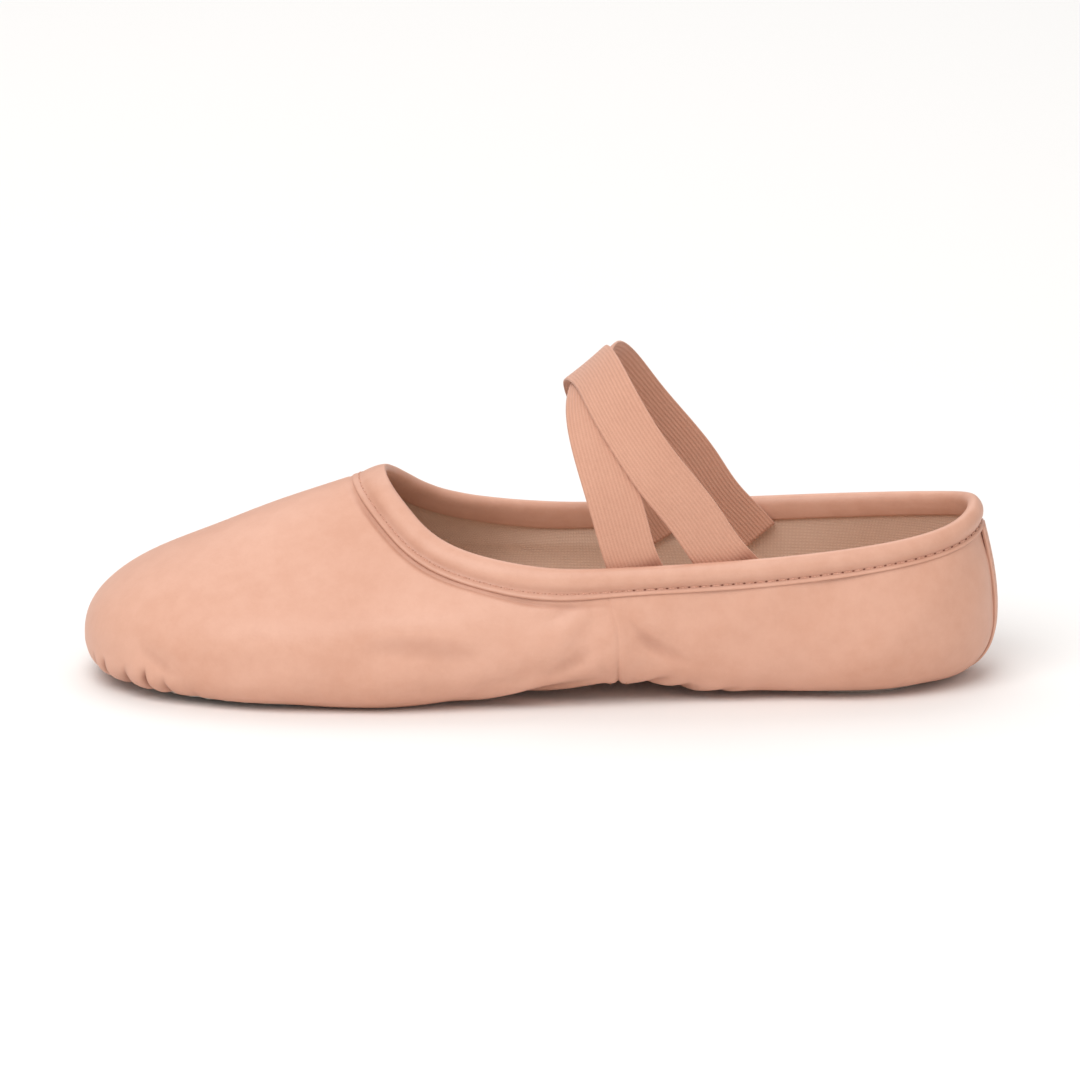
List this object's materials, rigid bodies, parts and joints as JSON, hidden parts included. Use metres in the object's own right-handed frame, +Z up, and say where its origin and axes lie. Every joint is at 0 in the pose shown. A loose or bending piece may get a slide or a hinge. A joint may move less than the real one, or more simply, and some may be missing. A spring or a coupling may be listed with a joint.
{
  "type": "split-sole ballet slipper",
  "caption": "Soft leather ballet slipper with a split suede sole, pleated toe, bound collar and crossed elastics over the instep.",
  "frame": {"origin": "on the floor under the middle of the shoe", "axes": "+X towards the toe, +Y towards the side with the rear end of the upper elastic, +Z up"},
  "size_m": [0.2411, 0.091, 0.0895],
  "materials": {
    "upper_leather": "soft smooth leather, low sheen",
    "sole_suede": "brushed suede, matt",
    "insole_cotton": "plain woven cotton, matt",
    "binding_leather": "soft leather, low sheen",
    "strap_elastic": "ribbed woven elastic, matt"
  },
  "bodies": {
    "root": {"upper": "upper_leather", "forefoot_sole": "sole_suede", "heel_sole": "sole_suede", "insole": "insole_cotton", "collar_binding": "binding_leather", "heel_strip": "upper_leather", "elastic_strap_under": "strap_elastic", "elastic_strap_over": "strap_elastic"}
  },
  "joints": []
}
